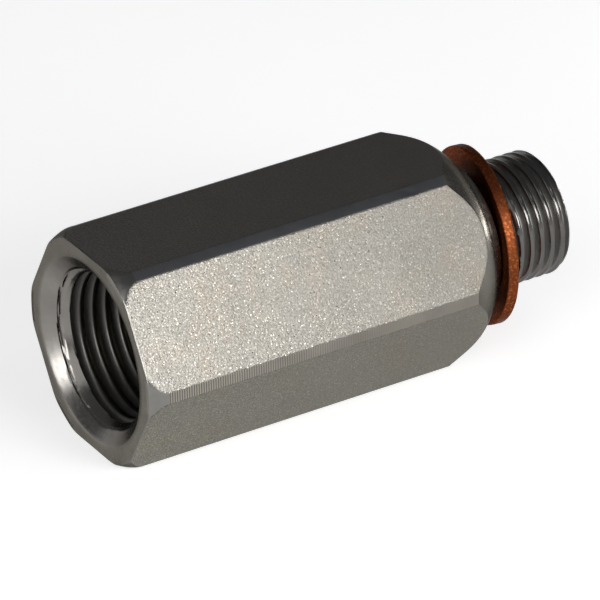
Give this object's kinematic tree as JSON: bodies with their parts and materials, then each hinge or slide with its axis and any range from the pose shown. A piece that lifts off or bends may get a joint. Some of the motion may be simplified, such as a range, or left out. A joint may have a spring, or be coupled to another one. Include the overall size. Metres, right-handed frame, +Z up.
{
  "type": "hose rupture valve",
  "caption": "In-line hydraulic hose rupture valve: hexagonal steel housing with a female port, a male stud with a loose copper sealing washer, and a spring-held poppet inside.",
  "frame": {"origin": "under the middle of the valve's length, on the surface that its lower flat rests on; the valve's axis is 13.5 mm above it", "axes": "+X along the valve's axis from the female port to the male stud, +Z up, square to the flat it lies on"},
  "size_m": [0.0646, 0.0304, 0.027],
  "materials": {
    "zinc_steel": "satin, drawn flats and turned cones",
    "copper": "dull copper with brighter rim",
    "plated_steel": "plated, satin",
    "ground_steel": "ground",
    "spring_steel": "drawn wire"
  },
  "bodies": {
    "valve_body": {"housing": "zinc_steel", "copper_washer": "copper", "cartridge_body": "plated_steel", "spring": "spring_steel"},
    "poppet_unit": {"poppet": "ground_steel", "adjusting_nut": "plated_steel", "lock_nut": "plated_steel"}
  },
  "joints": [
    {"name": "poppet_slide", "type": "slide", "parent": "valve_body", "child": "poppet_unit", "axis": [-1, 0, 0], "range_m": [0, 0.0014], "stiffness_N_per_m": 2500, "springref_m": -0.002, "deforming": ["spring"]}
  ]
}
